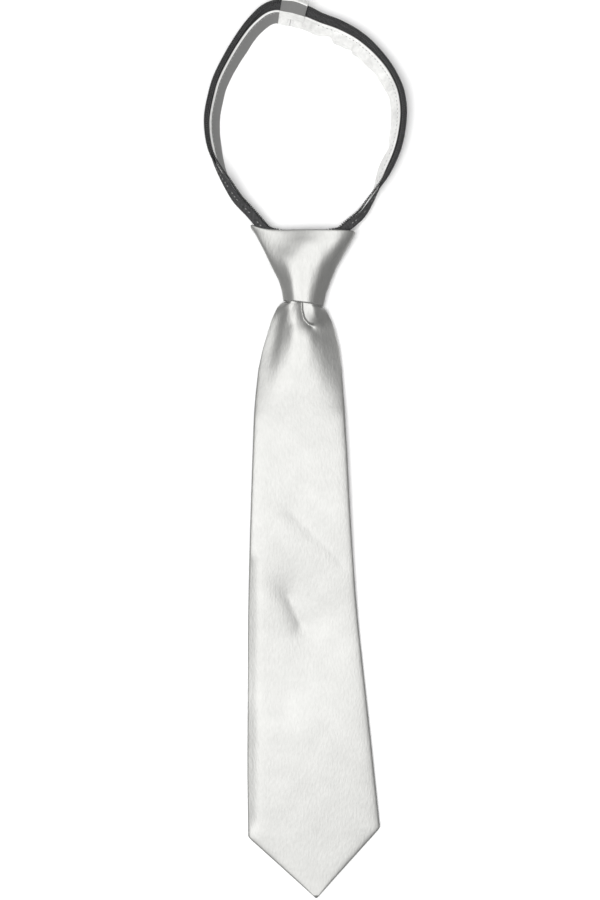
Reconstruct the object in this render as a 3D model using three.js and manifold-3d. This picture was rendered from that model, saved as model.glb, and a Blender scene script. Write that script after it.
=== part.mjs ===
// Zipper tie, lying flat: a satin loop with a zipper in it, a ready-made knot and a blade.
// Millimetres. +Z is up from the table, +Y points from the blade's tip to the back of the neck.
// All places are worked out from the middle of the knot's top edge; the group is then moved
// so that the origin is the centre of the bottom of the whole tie.

import * as THREE from "three";
import { mergeVertices } from "three/addons/utils/BufferGeometryUtils.js";
import Module from "manifold-3d";

const wasm = await Module();
wasm.setup();

// Sizes of the cloth and the zipper
const clearance = 0.3;
const satinWidth = 9;
const satinThick = 1.4;
const tapeWidth = 7.7;
const tapeThick = 0.7;
const tapeOverlap = 1.9;
const tapeRise = 1;
const coilWidth = 2.2;
const coilThick = 1.5;
const coilOverhang = 0.8;
const coilGap = 0.45;

// Sizes of the loop, between the upper edges of the satin
const loopWidth = 102;
const loopHeight = 118;
const joinWall = 1;
const joinReach = 2.6;

// Sizes of the knot
const knotTopWidth = 55.6;
const knotBottomWidth = 21.4;
const knotHeight = 38.4;
const knotThick = 15.4;
const knotBottomThick = 11.6;
const knotWall = 1.2;
const knotBackDrop = 6;
const knotCornerLeft = 5.4;
const knotCornerRight = 3;
const knotSlant = 1.4;

// Sizes of the slider and the tail
const sliderLength = 11;
const sliderWidth = 8.2;
const sliderPlate = 1;
const sliderPost = 1;
const sliderTop = 7.5;
const tailLength = 94;
const tailDrop = 12;
const tabLength = 12;
const tabWall = 1;
const postLength = 1.6;
const tabRamp = 13;
const bladeRamp = 100;

// Sizes of the blade, from the bottom of the knot to the tip
const bladeLength = 317.2;
const bladeWidth = 70.4;
const bladeThick = 3.2;
const neckInside = 11;
const cornerSlant = 5;

// Satin
const satinColour = "#e9e9e7";
const bandColour = "#dededb";
// Charcoal tape and nylon teeth
const tapeColour = "#4b4b4c";
const coilColour = "#3a3a3b";
const sliderColour = "#56575a";

const degrees = Math.PI / 180;
const stepsPerRow = 2;
const up = new THREE.Vector3(0, 0, 1);

// Columns: across is the distance from the centre line as a share of the loop's width, up is the height
// above the knot as a share of the loop's height, lean and flap are the angles of the satin and of the
// zipper from upright, in degrees, outwards positive. The rows run from the back of the neck to the knot.
const leftRows = [
  { across: 0.157, up: 0.997, lean: 38, flap: 42 },
  { across: 0.2, up: 0.983, lean: 36, flap: 32 },
  { across: 0.268, up: 0.934, lean: 35, flap: 20 },
  { across: 0.328, up: 0.869, lean: 35, flap: 15 },
  { across: 0.4, up: 0.766, lean: 34, flap: 14 },
  { across: 0.45, up: 0.676, lean: 32, flap: 14 },
  { across: 0.476, up: 0.593, lean: 31, flap: 15 },
  { across: 0.492, up: 0.519, lean: 32, flap: 14 },
  { across: 0.493, up: 0.451, lean: 31, flap: 12 },
  { across: 0.476, up: 0.361, lean: 28, flap: 8 },
  { across: 0.447, up: 0.28, lean: 20, flap: -14 },
  { across: 0.403, up: 0.199, lean: 14, flap: -44 },
  { across: 0.358, up: 0.134, lean: 13, flap: -62 },
  { across: 0.287, up: 0.069, lean: 21, flap: -69 },
];
const rightRows = [
  { across: 0.086, up: 0.943, lean: 40, flap: 40 },
  { across: 0.178, up: 0.915, lean: 42, flap: 36 },
  { across: 0.267, up: 0.876, lean: 44, flap: 30 },
  { across: 0.327, up: 0.838, lean: 46, flap: 26 },
  { across: 0.387, up: 0.789, lean: 46, flap: 19 },
  { across: 0.44, up: 0.732, lean: 44, flap: 15 },
  { across: 0.476, up: 0.675, lean: 38, flap: 15 },
  { across: 0.497, up: 0.624, lean: 31, flap: 18 },
  { across: 0.509, up: 0.542, lean: 28, flap: 21 },
  { across: 0.5, up: 0.452, lean: 25, flap: 23 },
  { across: 0.476, up: 0.366, lean: 24, flap: 25 },
  { across: 0.43, up: 0.272, lean: 21, flap: 22 },
  { across: 0.392, up: 0.2, lean: 8, flap: 4 },
  { across: 0.352, up: 0.128, lean: -6, flap: -18 },
  { across: 0.308, up: 0.062, lean: 4, flap: -50 },
];

// The back of the neck, from right to left, in the left strap's columns
const backRows = [
  { across: -0.013, up: 0.969, lean: 38, flap: 52 },
  { across: 0.0235, up: 0.977, lean: 38, flap: 60 },
  { across: 0.059, up: 0.985, lean: 39, flap: 63 },
  { across: 0.094, up: 0.991, lean: 40, flap: 60 },
  { across: 0.127, up: 0.998, lean: 39, flap: 52 },
];
// The two straps meet in the middle of these rows, with a narrow slit between their ends; the join
// covers them from joinFrom to joinTo, and what hollows it runs a little further at both ends
const strapStart = 2.04;
const satinIntoKnot = 0.7;
const joinFrom = 1.1;
const joinTo = 4.8;
const joinHollow = 0.2;

// How far the upper edge of the satin lies from the centre line once the zipper is closed
const closedReach = clearance / 2 + tapeWidth - tapeOverlap + coilOverhang;
const tapeOffset = clearance + tapeThick / 2;

// Heights of the underside of the teeth: in the slider, in the knot and along the tail
const coilInSlider = knotWall + clearance + sliderPlate + clearance;
const coilInKnot = knotWall + clearance;
const coilInTail = 0.06;
const coilToTape = coilThick + coilGap;
const tailStart = -knotHeight;
const tailEnd = tailStart - tailLength;
const tabTop = tailEnd + tabLength;
const tapeInTab = tabWall + clearance;
const tabThick = 2 * tabWall + 2 * clearance + tapeThick;

// Heights of the tape's underside along the closed zipper
function tapeLevel(y) {
  const inTail = THREE.MathUtils.smoothstep(tailStart - y, 0, tailDrop);
  const inTab = THREE.MathUtils.smoothstep(tabTop + tabLength / 2 - y, 0, tabLength / 2 - 1);
  const low = THREE.MathUtils.lerp(coilInKnot, coilInTail, inTail) + coilToTape;
  return THREE.MathUtils.lerp(low, tapeInTab, inTab);
}

// Columns: left and right are places to each side as shares of the knot's half width, down is a share of
// its height, laid goes from 0 where the strap stands on its edge to 1 where the tape lies flat, lean and
// flap as above
const mouthRows = [
  { left: 0.81, right: 0.845, down: -0.012, laid: 0, lean: 24, flap: -72 },
  { left: 0.68, right: 0.72, down: 0.092, laid: 0, lean: 15, flap: -78 },
  { left: 0.475, right: 0.475, down: 0.13, laid: 0.8, lean: -12, flap: -85 },
  { left: 0.32, right: 0.32, down: 0.192, laid: 1, lean: -36, flap: -89 },
];

// One row of the strap's route: the upper edge of the satin in plan, its height and the two angles
function standingHeight(lean) {
  const angle = lean * degrees;
  return satinWidth * Math.cos(angle) + satinThick * Math.max(0, -Math.sin(angle));
}

function loopStations(side, rows) {
  return rows.map((row) => ({
    x: side * row.across * loopWidth,
    y: row.up * loopHeight,
    z: standingHeight(row.lean),
    lean: row.lean,
    flap: row.flap,
  }));
}

// The bend of the tape lies this far above and beside the satin's upper edge
function bendAbove(lean) {
  return tapeRise * Math.cos(lean * degrees) - tapeOffset * Math.sin(lean * degrees);
}

function bendBeside(lean) {
  return tapeRise * Math.sin(lean * degrees) + tapeOffset * Math.cos(lean * degrees);
}

function knotStations(side) {
  const tapeInSlider = coilInSlider + coilToTape + tapeThick / 2;
  const mouth = mouthRows.map((row) => {
    const standing = standingHeight(row.lean) + bendAbove(row.lean);
    return {
      x: (side * (side < 0 ? row.left : row.right) * knotTopWidth) / 2,
      y: -row.down * knotHeight,
      z: THREE.MathUtils.lerp(standing, tapeInSlider, row.laid) - bendAbove(row.lean),
      lean: row.lean,
      flap: row.flap,
    };
  });
  const sliderEnd = -sliderTop - sliderLength;
  const tabBend = tabTop + tabLength / 2;
  const places = [
    { y: -sliderTop - 0.35 * sliderLength, lean: -50 },
    { y: -sliderTop - 0.7 * sliderLength, lean: -63 },
    { y: sliderEnd, lean: -75 },
    { y: sliderEnd - sliderLength / 2, lean: -90 },
    { y: tailStart, lean: -90 },
    { y: tailStart - tailDrop / 2, lean: -90 },
    { y: tailStart - tailDrop, lean: -90 },
    { y: tailStart - 1.4 * tailDrop, lean: -90 },
    { y: (tailStart + tabTop) / 2, lean: -90 },
    { y: tabBend, lean: -90 },
    { y: tabTop + 1, lean: -90 },
    { y: tailEnd + tabWall + clearance, lean: -90 },
  ];
  const closed = places.map((row) => {
    const tapeMiddle = row.y < sliderEnd ? tapeLevel(row.y) + tapeThick / 2 : tapeInSlider;
    return {
      x: side * (closedReach - tapeRise - bendBeside(row.lean)),
      y: row.y,
      z: tapeMiddle - bendAbove(row.lean),
      lean: row.lean,
      flap: -90,
    };
  });
  return [...mouth, ...closed];
}

// A route gives, at any place along it, the satin's upper edge and the directions of the section.
// The strap stands on the table as far as standingRows.
function makeRoute(side, stations, standingRows) {
  const places = stations.map((row) => new THREE.Vector3(row.x, row.y, row.z));
  const angles = stations.map((row) => new THREE.Vector3(row.lean, row.flap, 0));
  const placeCurve = new THREE.CatmullRomCurve3(places);
  const angleCurve = new THREE.CatmullRomCurve3(angles, false, "catmullrom", 0.5);
  const last = stations.length - 1;
  return {
    last,
    at(row) {
      const share = THREE.MathUtils.clamp(row / last, 0, 1);
      const edge = placeCurve.getPoint(share);
      const along = placeCurve.getTangent(share);
      const out = new THREE.Vector3(-along.y, along.x, 0).multiplyScalar(side).normalize();
      const [lean, flap] = angleCurve.getPoint(share).toArray();
      if (row <= standingRows) edge.z = standingHeight(lean);
      return {
        edge,
        satinUp: direction(out, lean),
        satinOut: direction(out, lean + 90),
        flapUp: direction(out, flap),
        flapOut: direction(out, flap + 90),
      };
    },
  };
}

function direction(out, angle) {
  const vector = up.clone().multiplyScalar(Math.cos(angle * degrees));
  return vector.addScaledVector(out, Math.sin(angle * degrees));
}

// The tape bends just above the satin: this is the bend's middle at one station
function bendPoint(station) {
  const bend = station.edge.clone().addScaledVector(station.satinUp, tapeRise);
  return bend.addScaledVector(station.satinOut, tapeOffset);
}

// Moves every point of a closed three.js shape and returns one closed body with its faces outwards
function warp(geometry, place) {
  geometry.deleteAttribute("normal");
  geometry.deleteAttribute("uv");
  const points = geometry.getAttribute("position");
  const point = new THREE.Vector3();
  for (let index = 0; index < points.count; index += 1) {
    point.copy(place(point.fromBufferAttribute(points, index)));
    points.setXYZ(index, point.x, point.y, point.z);
  }
  const merged = mergeVertices(geometry, 1e-4);
  return insideOut(merged) ? turned(merged) : merged;
}

function insideOut(geometry) {
  const points = geometry.getAttribute("position");
  const index = geometry.getIndex();
  const corners = [new THREE.Vector3(), new THREE.Vector3(), new THREE.Vector3()];
  let volume = 0;
  for (let face = 0; face < index.count; face += 3) {
    corners.forEach((corner, step) => corner.fromBufferAttribute(points, index.getX(face + step)));
    volume += corners[0].dot(corners[1].clone().cross(corners[2]));
  }
  return volume < 0;
}

function turned(geometry) {
  const index = geometry.getIndex();
  for (let face = 0; face < index.count; face += 3) {
    const kept = index.getX(face);
    index.setX(face, index.getX(face + 1));
    index.setX(face + 1, kept);
  }
  return geometry;
}

// Joining and cutting closed bodies
function toSolid(geometry) {
  const vertProperties = new Float32Array(geometry.getAttribute("position").array);
  const triVerts = new Uint32Array(geometry.getIndex().array);
  return new wasm.Manifold(new wasm.Mesh({ numProp: 3, vertProperties, triVerts }));
}

function toGeometry(solid) {
  const mesh = solid.getMesh();
  const geometry = new THREE.BufferGeometry();
  geometry.setAttribute("position", new THREE.BufferAttribute(mesh.vertProperties, 3));
  geometry.setIndex(new THREE.BufferAttribute(mesh.triVerts, 1));
  return geometry;
}

// A box from its two corners
function block(low, high) {
  const size = new THREE.Vector3().subVectors(high, low);
  const middle = new THREE.Vector3().addVectors(low, high).multiplyScalar(0.5);
  const box = new THREE.BoxGeometry(size.x, size.y, size.z);
  return warp(box, (point) => point.add(middle));
}

// Satin strap: a flat fold of cloth that stands on its lower edge
function satinStrap(route, firstRow, lastRow) {
  const steps = stepsPerRow * Math.round(lastRow - firstRow);
  const box = new THREE.BoxGeometry(1, 1, 1, 1, 4, steps);
  return warp(box, (point) => {
    const station = route.at(THREE.MathUtils.lerp(firstRow, lastRow, point.z + 0.5));
    const depth = (0.5 - point.y) * satinWidth;
    const edgeRound = 1 - 0.45 * Math.abs(2 * point.y) ** 6;
    const across = -satinThick / 2 + point.x * satinThick * edgeRound;
    const place = station.edge.clone().addScaledVector(station.satinUp, -depth);
    return place.addScaledVector(station.satinOut, across);
  });
}

// Zipper tape: from its hem on the satin's outer face, over the bend, to the edge that holds the teeth
function zipperTape(route, firstRow) {
  const steps = stepsPerRow * Math.round(route.last - firstRow);
  const box = new THREE.BoxGeometry(1, 1, 1, 1, 2, steps);
  const exposed = tapeWidth - tapeOverlap - tapeRise;
  return warp(box, (point) => {
    const station = route.at(THREE.MathUtils.lerp(firstRow, route.last, point.z + 0.5));
    const place = bendPoint(station);
    if (point.y < -0.25) {
      place.addScaledVector(station.satinUp, -tapeRise - tapeOverlap);
      return place.addScaledVector(station.satinOut, point.x * tapeThick);
    }
    if (point.y > 0.25) {
      place.addScaledVector(station.flapUp, exposed);
      return place.addScaledVector(station.flapOut, point.x * tapeThick);
    }
    const middle = station.satinOut.clone().add(station.flapOut).normalize();
    return place.addScaledVector(middle, point.x * tapeThick);
  });
}

// Zipper teeth: one nylon coil, drawn as the oval tube that it fills
function zipperCoil(route, firstRow, lastRow) {
  const steps = stepsPerRow * Math.round(lastRow - firstRow);
  const tube = new THREE.CylinderGeometry(1, 1, 1, 8, steps);
  const exposed = tapeWidth - tapeOverlap - tapeRise;
  const reach = exposed + coilOverhang - coilWidth / 2;
  const inwards = tapeThick / 2 + coilGap + coilThick / 2;
  return warp(tube, (point) => {
    const station = route.at(THREE.MathUtils.lerp(firstRow, lastRow, 0.5 - point.y));
    const place = bendPoint(station);
    place.addScaledVector(station.flapUp, reach + (point.x * coilWidth) / 2);
    return place.addScaledVector(station.flapOut, (point.z * coilThick) / 2 - inwards);
  });
}

// Join at the back of the neck: a satin binding folded over the two zipper ends and the strap's upper
// edge, down to a reach below that edge
function joinBody(route, firstRow, lastRow, wall, reachDown) {
  const box = new THREE.BoxGeometry(1, 1, 1, 1, 3, 8);
  const exposed = tapeWidth - tapeOverlap - tapeRise;
  const satinInner = satinThick + clearance + wall;
  const satinOuter = tapeThick + 2 * clearance + wall;
  const flapInner = tapeThick / 2 + coilGap + coilThick + clearance + wall;
  const flapOuter = tapeThick / 2 + clearance + wall;
  return warp(box, (point) => {
    const station = route.at(THREE.MathUtils.lerp(firstRow, lastRow, point.z + 0.5));
    const outside = point.x > 0;
    if (point.y > 0.4) {
      const reach = exposed + coilOverhang + clearance + wall;
      const end = bendPoint(station).addScaledVector(station.flapUp, reach);
      return end.addScaledVector(station.flapOut, outside ? flapOuter : -flapInner);
    }
    if (point.y > 0) {
      const middle = station.satinOut.clone().add(station.flapOut).normalize();
      return bendPoint(station).addScaledVector(middle, outside ? flapOuter : -flapInner);
    }
    const depth = point.y < -0.4 ? reachDown : reachDown / 2;
    const place = station.edge.clone().addScaledVector(station.satinUp, -depth);
    return place.addScaledVector(station.satinOut, outside ? satinOuter : -satinInner);
  });
}

// Knot: a hollow sleeve whose sections run from the wide mouth to the narrow bottom.
// Columns: down is a share of the knot's height, width goes from 1 at the mouth to 0 at the bottom,
// shift is a share of the knot's top width.
const knotRows = [
  { down: 0, width: 1, shift: -0.007 },
  { down: 0.1, width: 0.87, shift: 0.006 },
  { down: 0.3, width: 0.62, shift: 0.008 },
  { down: 0.5, width: 0.385, shift: 0.004 },
  { down: 0.7, width: 0.175, shift: 0.01 },
  { down: 0.86, width: 0.055, shift: 0.004 },
  { down: 1, width: 0, shift: 0 },
];

function columnAt(rows, key, column, value) {
  const last = rows.length - 1;
  const found = rows.findIndex((row) => row[key] > value);
  const next = found < 0 ? last : Math.max(1, found);
  const [from, to] = [rows[next - 1], rows[next]];
  const share = (value - from[key]) / (to[key] - from[key]);
  return THREE.MathUtils.lerp(from[column], to[column], THREE.MathUtils.clamp(share, 0, 1));
}

function knotBody(wall, reach) {
  const tube = new THREE.CylinderGeometry(1, 1, 1, 28, 12);
  return warp(tube, (point) => {
    const share = THREE.MathUtils.lerp(-reach, 1 + reach, 0.5 - point.y);
    const inKnot = THREE.MathUtils.clamp(share, 0, 1);
    const width = columnAt(knotRows, "down", "width", inKnot);
    const shift = columnAt(knotRows, "down", "shift", inKnot) * knotTopWidth;
    const halfWidth = THREE.MathUtils.lerp(knotBottomWidth, knotTopWidth, width) / 2 - wall;
    const thick = THREE.MathUtils.lerp(knotThick, knotBottomThick, inKnot);
    const round = point.z > 0 ? 2.5 : 4;
    const across = Math.sign(point.x) * Math.abs(point.x) ** (2 / round) * halfWidth;
    const high = Math.sign(point.z) * Math.abs(point.z) ** (2 / round) * (thick / 2 - wall);
    const corner = (point.x < 0 ? knotCornerLeft : knotCornerRight) * Math.abs(point.x) ** 3;
    const rim = (corner - (knotBackDrop * (1 - point.z)) / 2) * (1 - inKnot) ** 3;
    const slant = knotSlant * point.x * inKnot ** 3;
    return point.set(shift + across, rim - share * knotHeight - slant, thick / 2 + high);
  });
}

function cut(body, hole) {
  return toGeometry(toSolid(body).subtract(toSolid(hole)));
}

// Slider: two plates that hold the teeth together, joined by the post that parts them
function sliderBody() {
  const bottom = knotWall + clearance;
  const top = coilInSlider + coilToTape + tapeThick + clearance;
  const end = -sliderTop - sliderLength;
  const half = sliderWidth / 2;
  const lower = block(
    new THREE.Vector3(-half, end, bottom),
    new THREE.Vector3(half, -sliderTop, bottom + sliderPlate),
  );
  const upper = block(
    new THREE.Vector3(-half, end, top),
    new THREE.Vector3(half, -sliderTop, top + sliderPlate),
  );
  const post = block(
    new THREE.Vector3(-sliderPost / 2, -sliderTop - postLength, bottom),
    new THREE.Vector3(sliderPost / 2, -sliderTop, top + sliderPlate),
  );
  return toGeometry(toSolid(lower).add(toSolid(upper)).add(toSolid(post)));
}

// Tab: satin folded round the end of the closed zipper, open towards the knot
function tabBody() {
  const half = closedReach + tapeOverlap + clearance;
  const outer = block(
    new THREE.Vector3(-half - tabWall, tailEnd, 0),
    new THREE.Vector3(half + tabWall, tabTop, tabThick),
  );
  const pocket = block(
    new THREE.Vector3(-half, tailEnd + tabWall, tabWall),
    new THREE.Vector3(half, tabTop + tabWall, tabThick - tabWall),
  );
  return cut(outer, pocket);
}

// Blade: satin folded round its interlining. Columns: down is a share of the blade's length, wide goes
// from 0 at the neck to 1 at the widest, shift of the middle is a share of the blade's width, puff goes
// from 1 for the neck's thickness to 0 for the blade's, square is how flat the front is across.
const neckBase = coilInKnot + coilToTape + tapeThick + clearance;
const neckThick = knotBottomThick - knotWall - clearance - neckBase;
const neckWidth = knotBottomWidth - 2 * knotWall - 2 * clearance;
const bladeRows = [
  { down: -neckInside / bladeLength, wide: 0, shift: 0, puff: 1, square: 2.3 },
  { down: 0.0015, wide: 0, shift: 0, puff: 1, square: 2.3 },
  { down: 0.005, wide: 0.1, shift: -0.005, puff: 1, square: 2.3 },
  { down: 0.011, wide: 0.16, shift: -0.01, puff: 0.95, square: 2.4 },
  { down: 0.028, wide: 0.255, shift: -0.013, puff: 0.8, square: 2.8 },
  { down: 0.045, wide: 0.327, shift: -0.014, puff: 0.64, square: 3.2 },
  { down: 0.078, wide: 0.433, shift: -0.018, puff: 0.35, square: 4 },
  { down: 0.112, wide: 0.502, shift: -0.026, puff: 0.15, square: 5 },
  { down: 0.18, wide: 0.574, shift: -0.03, puff: 0, square: 6 },
  { down: 0.25, wide: 0.616, shift: -0.027, puff: 0, square: 7 },
  { down: 0.38, wide: 0.684, shift: -0.021, puff: 0, square: 8 },
  { down: 0.516, wide: 0.764, shift: -0.006, puff: 0, square: 8 },
  { down: 0.65, wide: 0.856, shift: 0.024, puff: 0, square: 8 },
  { down: 0.785, wide: 0.947, shift: 0.055, puff: 0, square: 8 },
  { down: 0.883, wide: 1, shift: 0.081, puff: 0, square: 8 },
];
const tipShift = 0.097;
const slantFade = 0.05;
const tipWidth = 1.2;
const foldStart = 0.001;
const foldFull = 0.009;
const edgeShare = 0.4;
const underCurl = 0.14;

// Folds pressed into the front of the blade. Columns: x is a share of the blade's width, down a share
// of its length, from one end of the fold to the other; width and height are in millimetres.
const foldRows = [
  { x: -0.02, down: 0, toX: -0.022, toDown: 0.024, width: 1.5, height: -1.7 },
  { x: -0.022, down: 0.024, toX: 0.07, toDown: 0.04, width: 1.8, height: -1.2 },
  { x: 0.04, down: 0.008, toX: 0.1, toDown: 0.018, width: 3, height: 0.8 },
  { x: -0.075, down: 0, toX: -0.05, toDown: 0.05, width: 2.4, height: 0.6 },
  { x: -0.14, down: 0.004, toX: -0.21, toDown: 0.07, width: 3, height: -0.7 },
  { x: 0.15, down: 0.01, toX: 0.2, toDown: 0.07, width: 3, height: -0.7 },
  { x: -0.14, down: 0.43, toX: -0.03, toDown: 0.54, width: 7, height: -0.8 },
  { x: -0.1, down: 0.3, toX: 0.26, toDown: 0.37, width: 8, height: -0.4 },
];

function foldHeight(x, y) {
  const point = new THREE.Vector3(x, y, 0);
  const nearest = new THREE.Vector3();
  return foldRows.reduce((height, row) => {
    const from = new THREE.Vector3(row.x * bladeWidth, tailStart - row.down * bladeLength, 0);
    const to = new THREE.Vector3(row.toX * bladeWidth, tailStart - row.toDown * bladeLength, 0);
    new THREE.Line3(from, to).closestPointToPoint(point, true, nearest);
    return height + row.height * Math.exp(-((point.distanceTo(nearest) / row.width) ** 2));
  }, 0);
}

// Height of the blade's back: over the closed zipper and its tab, then down to the table
function bladeBase(y) {
  const overTail = tapeLevel(Math.max(y, tabTop + tabLength / 2)) + tapeThick + clearance;
  const overTab = THREE.MathUtils.smoothstep(-y, -tabTop - 1 - tabRamp, -tabTop - 1);
  const lifted = THREE.MathUtils.lerp(overTail, tabThick + clearance, overTab);
  return lifted * (1 - THREE.MathUtils.smoothstep(-y, -tailEnd + 1, -tailEnd + 1 + bladeRamp));
}

function bladeStation(row) {
  const last = bladeRows.length - 1;
  if (row > last) {
    const share = row - last;
    const corner = bladeRows[last];
    return {
      down: THREE.MathUtils.lerp(corner.down, 1, share),
      width: THREE.MathUtils.lerp(bladeWidth, tipWidth, share),
      shift: THREE.MathUtils.lerp(corner.shift, tipShift, share),
      thick: bladeThick,
      square: corner.square,
      slant: cornerSlant * (1 - share),
      neckSlant: 0,
    };
  }
  const index = Math.min(Math.floor(row), last - 1);
  const [above, below] = [bladeRows[index], bladeRows[index + 1]];
  const blend = (column) => THREE.MathUtils.lerp(above[column], below[column], row - index);
  return {
    down: blend("down"),
    width: THREE.MathUtils.lerp(neckWidth, bladeWidth, smoothColumn(bladeRows, "wide", row)),
    shift: smoothColumn(bladeRows, "shift", row),
    thick: THREE.MathUtils.lerp(bladeThick, neckThick, blend("puff")),
    square: blend("square"),
    slant: cornerSlant * THREE.MathUtils.smoothstep(blend("down"), 0.7, bladeRows[last].down),
    neckSlant: knotSlant * (1 - THREE.MathUtils.smoothstep(blend("down"), 0, slantFade)),
  };
}

// A column read between its rows along a smooth curve
function smoothColumn(rows, column, row) {
  const places = rows.map((each) => new THREE.Vector3(each.down, each[column], 0));
  return new THREE.CatmullRomCurve3(places).getPoint(row / (rows.length - 1)).y;
}

function bladeBody() {
  const rows = bladeRows.length;
  const box = new THREE.BoxGeometry(1, 1, 1, 16, 2, rows * 3);
  return warp(box, (point) => {
    const station = bladeStation((0.5 - point.z) * rows);
    const across = Math.sin(point.x * Math.PI);
    const x = station.shift * bladeWidth + (across * station.width) / 2;
    const sheared = (station.slant * (1 - across)) / 2 + station.neckSlant * across;
    const y = tailStart - station.down * bladeLength - sheared;
    const crown = (1 - Math.abs(across) ** station.square) ** (1 / station.square);
    const free = THREE.MathUtils.smoothstep(station.down, foldStart, foldFull);
    const plain = station.thick * THREE.MathUtils.lerp(edgeShare, 1, crown);
    const front = plain + foldHeight(x, y) * crown * free;
    const back = station.thick * underCurl * Math.abs(across) ** 12;
    const share = point.y + 0.5;
    return point.set(x, y, bladeBase(y) + THREE.MathUtils.lerp(back, front, share));
  });
}

// Assembly
function piece(name, geometry, color, roughness, metalness = 0) {
  geometry.computeVertexNormals();
  const material = new THREE.MeshStandardMaterial({ color, roughness, metalness });
  const mesh = new THREE.Mesh(geometry, material);
  mesh.name = name;
  return mesh;
}

const tie = new THREE.Group();
const mirrored = (rows) => rows.map((row) => ({ ...row, across: -row.across })).reverse();
const straps = [
  { name: "left", side: -1, rows: [...backRows, ...leftRows], first: strapStart },
  { name: "right", side: 1, rows: [...mirrored(backRows), ...rightRows], first: strapStart },
];
for (const strap of straps) {
  const mouth = strap.rows.length;
  const stations = [...loopStations(strap.side, strap.rows), ...knotStations(strap.side)];
  const route = makeRoute(strap.side, stations, mouth + 1);
  const tabRow = route.last - 2;
  const satin = satinStrap(route, strap.first, mouth + satinIntoKnot);
  tie.add(piece("neck_band_" + strap.name, satin, bandColour, 0.42));
  tie.add(piece("zipper_tape_" + strap.name, zipperTape(route, strap.first), tapeColour, 0.85));
  tie.add(piece("zipper_coil_" + strap.name, zipperCoil(route, strap.first, tabRow), coilColour, 0.5));
}

const joinRows = [...mirrored(rightRows.slice(0, 1)), ...backRows, leftRows[0]];
const joinRoute = makeRoute(-1, loopStations(-1, joinRows), joinRows.length);
const joinOuter = joinBody(joinRoute, joinFrom, joinTo, joinWall, joinReach);
const joinInner = joinBody(joinRoute, joinFrom - joinHollow, joinTo + joinHollow, 0, 2 * joinReach);
tie.add(piece("back_join", cut(joinOuter, joinInner), satinColour, 0.4));
tie.add(piece("knot", cut(knotBody(0, 0), knotBody(knotWall, 0.06)), satinColour, 0.35));
tie.add(piece("blade", bladeBody(), satinColour, 0.35));
tie.add(piece("zip_slider", sliderBody(), sliderColour, 0.4, 0.8));
tie.add(piece("tail_tab", tabBody(), bandColour, 0.42));

// The origin is the middle of the bottom of the whole tie
const bounds = new THREE.Box3().setFromObject(tie);
const middle = bounds.getCenter(new THREE.Vector3());
tie.position.set(-middle.x, -middle.y, -bounds.min.z);

export default tie;
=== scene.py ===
import math

import bmesh
import bpy
from mathutils import Matrix, Vector, noise


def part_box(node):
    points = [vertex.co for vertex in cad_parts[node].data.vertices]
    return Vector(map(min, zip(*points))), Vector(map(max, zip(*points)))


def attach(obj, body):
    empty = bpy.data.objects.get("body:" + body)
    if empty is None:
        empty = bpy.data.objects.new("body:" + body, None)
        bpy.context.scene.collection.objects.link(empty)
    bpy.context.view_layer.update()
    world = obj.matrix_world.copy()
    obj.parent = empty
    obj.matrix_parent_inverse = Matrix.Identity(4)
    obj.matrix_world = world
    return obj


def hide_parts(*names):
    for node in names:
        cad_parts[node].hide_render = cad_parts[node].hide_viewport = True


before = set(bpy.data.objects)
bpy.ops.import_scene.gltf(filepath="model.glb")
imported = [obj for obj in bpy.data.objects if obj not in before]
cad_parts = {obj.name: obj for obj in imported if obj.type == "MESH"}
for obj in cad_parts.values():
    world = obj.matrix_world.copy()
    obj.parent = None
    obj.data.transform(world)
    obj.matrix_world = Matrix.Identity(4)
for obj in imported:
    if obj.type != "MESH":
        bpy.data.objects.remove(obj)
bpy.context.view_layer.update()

bl_info = {
    "name": "Zipper tie",
    "version": (1, 0, 0),
    "blender": (4, 5, 0),
    "location": "3D View > Sidebar > Tie",
    "description": "Dresses a ready-knotted satin zipper tie and lays it on a pale table",
    "category": "Object",
}

# Lengths are millimetres, measured from the middle of the knot's top edge. They are those of the solids,
# but for a few places at the knot's mouth and corners, where the cloth lies a few millimetres off them.
# The tab at the end of the zipper says where the knot's top edge lies in the frame.
MM = 0.001
TAB_LOW, TAB_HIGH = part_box("tail_tab")

# The strap, the zipper and the loop
CLEARANCE = 0.3
SATIN_WIDTH = 9.0
SATIN_THICK = 1.4
TAPE_WIDTH = 7.7
TAPE_THICK = 0.7
TAPE_OVERLAP = 1.9
TAPE_RISE = 1.0
COIL_WIDTH = 2.2
COIL_THICK = 1.5
COIL_OVERHANG = 0.8
COIL_GAP = 0.45
LOOP_WIDTH = 102.0
LOOP_HEIGHT = 118.0
STRAP_START = 2.04
SATIN_INTO_KNOT = 0.7
JOIN_WALL = 1.0
JOIN_REACH = 2.6
JOIN_FROM = 1.1
JOIN_TO = 4.8
EXPOSED = TAPE_WIDTH - TAPE_OVERLAP - TAPE_RISE
TAPE_OFFSET = CLEARANCE + TAPE_THICK / 2
CLOSED_REACH = CLEARANCE / 2 + TAPE_WIDTH - TAPE_OVERLAP + COIL_OVERHANG

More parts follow.
